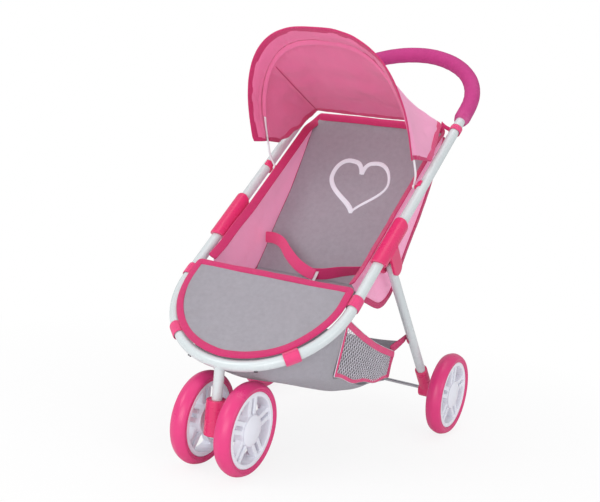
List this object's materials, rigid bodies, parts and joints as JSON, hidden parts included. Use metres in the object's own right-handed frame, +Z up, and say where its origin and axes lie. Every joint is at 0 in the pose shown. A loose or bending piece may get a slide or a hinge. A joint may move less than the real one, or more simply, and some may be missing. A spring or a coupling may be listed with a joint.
{
  "type": "doll stroller",
  "caption": "Folding doll stroller: tube loop frame with foam grip, swivelling twin front wheel, sling seat with footrest panel, hood on a wire bow and basket.",
  "frame": {"origin": "on the floor, below the middle of the overall length, on the plane of symmetry", "axes": "+Z up, -Y towards the front wheels, +Y towards the handle; nodes named right are on +X and nodes named left on -X"},
  "size_m": [0.337, 0.554, 0.563],
  "materials": {
    "tube_white": "gloss",
    "steel": "satin",
    "rim_white": "gloss",
    "tyre_pink": "gloss",
    "pink_plastic": "satin",
    "foam_grip": "matte",
    "wire_white": "gloss",
    "grey_cloth": "matte",
    "light_pink_cloth": "matte",
    "dark_pink_tape": "matte",
    "bright_pink_tape": "matte",
    "hood_cloth": "matte",
    "white_tab": "matte",
    "mesh_cloth": "matte",
    "screw_steel": "satin"
  },
  "bodies": {
    "frame": {"front_tube": "tube_white", "handle_tube": "tube_white", "handle_grip": "foam_grip", "fork_stem": "tube_white", "tube_screws": "screw_steel", "hinge_housing_right": "pink_plastic", "hinge_housing_left": "pink_plastic", "hinge_pin_right": "steel", "hinge_pin_left": "steel", "canopy_clip_right": "pink_plastic", "canopy_clip_left": "pink_plastic", "seat_back": "grey_cloth", "seat_base": "grey_cloth", "side_panel_right": "light_pink_cloth", "side_panel_left": "light_pink_cloth", "seat_binding": "dark_pink_tape", "front_apron": "grey_cloth", "apron_binding": "dark_pink_tape", "strap_loops": "bright_pink_tape", "belt_right": "dark_pink_tape", "belt_left": "dark_pink_tape", "belt_tab": "white_tab", "basket": "grey_cloth", "basket_mesh_right": "mesh_cloth", "basket_mesh_left": "mesh_cloth", "canopy_ties": "dark_pink_tape"},
    "caster": {"caster_block": "pink_plastic", "caster_clip": "steel", "front_axle": "steel", "axle_clips_front": "steel"},
    "front_wheel_right": {"front_rim_right": "rim_white", "front_tyre_right": "tyre_pink", "front_hub_cap_right": "rim_white"},
    "front_wheel_left": {"front_rim_left": "rim_white", "front_tyre_left": "tyre_pink", "front_hub_cap_left": "rim_white"},
    "rear_frame": {"rear_leg_right": "tube_white", "rear_leg_left": "tube_white", "rear_foot_right": "pink_plastic", "rear_foot_left": "pink_plastic", "rear_axle": "steel", "axle_clips_rear": "steel", "basket_straps": "dark_pink_tape"},
    "rear_wheel_right": {"rear_rim_right": "rim_white", "rear_tyre_right": "tyre_pink", "rear_hub_cap_right": "rim_white"},
    "rear_wheel_left": {"rear_rim_left": "rim_white", "rear_tyre_left": "tyre_pink", "rear_hub_cap_left": "rim_white"},
    "canopy": {"canopy_wire": "wire_white", "canopy_hood": "hood_cloth"}
  },
  "joints": [
    {"name": "caster_swivel", "type": "hinge", "parent": "frame", "child": "caster", "pos_m": [0, -0.23899, 0.095], "axis": [0, 0, 1], "continuous": true},
    {"name": "front_wheel_right_roll", "type": "hinge", "parent": "caster", "child": "front_wheel_right", "pos_m": [0.032, -0.21699, 0.06], "axis": [1, 0, 0], "continuous": true},
    {"name": "front_wheel_left_roll", "type": "hinge", "parent": "caster", "child": "front_wheel_left", "pos_m": [-0.032, -0.21699, 0.06], "axis": [1, 0, 0], "continuous": true},
    {"name": "rear_leg_fold", "type": "hinge", "parent": "frame", "child": "rear_frame", "pos_m": [0, -0.0418, 0.26212], "axis": [-1, 0, 0], "range_deg": [0, 65]},
    {"name": "rear_wheel_right_roll", "type": "hinge", "parent": "rear_frame", "child": "rear_wheel_right", "pos_m": [0.156, 0.14201, 0.06], "axis": [1, 0, 0], "continuous": true},
    {"name": "rear_wheel_left_roll", "type": "hinge", "parent": "rear_frame", "child": "rear_wheel_left", "pos_m": [-0.156, 0.14201, 0.06], "axis": [1, 0, 0], "continuous": true},
    {"name": "hood_tilt", "type": "hinge", "parent": "frame", "child": "canopy", "pos_m": [0, 0.03456, 0.36311], "axis": [-1, 0, 0], "range_deg": [0, 60], "deforming": ["canopy_hood"]}
  ]
}
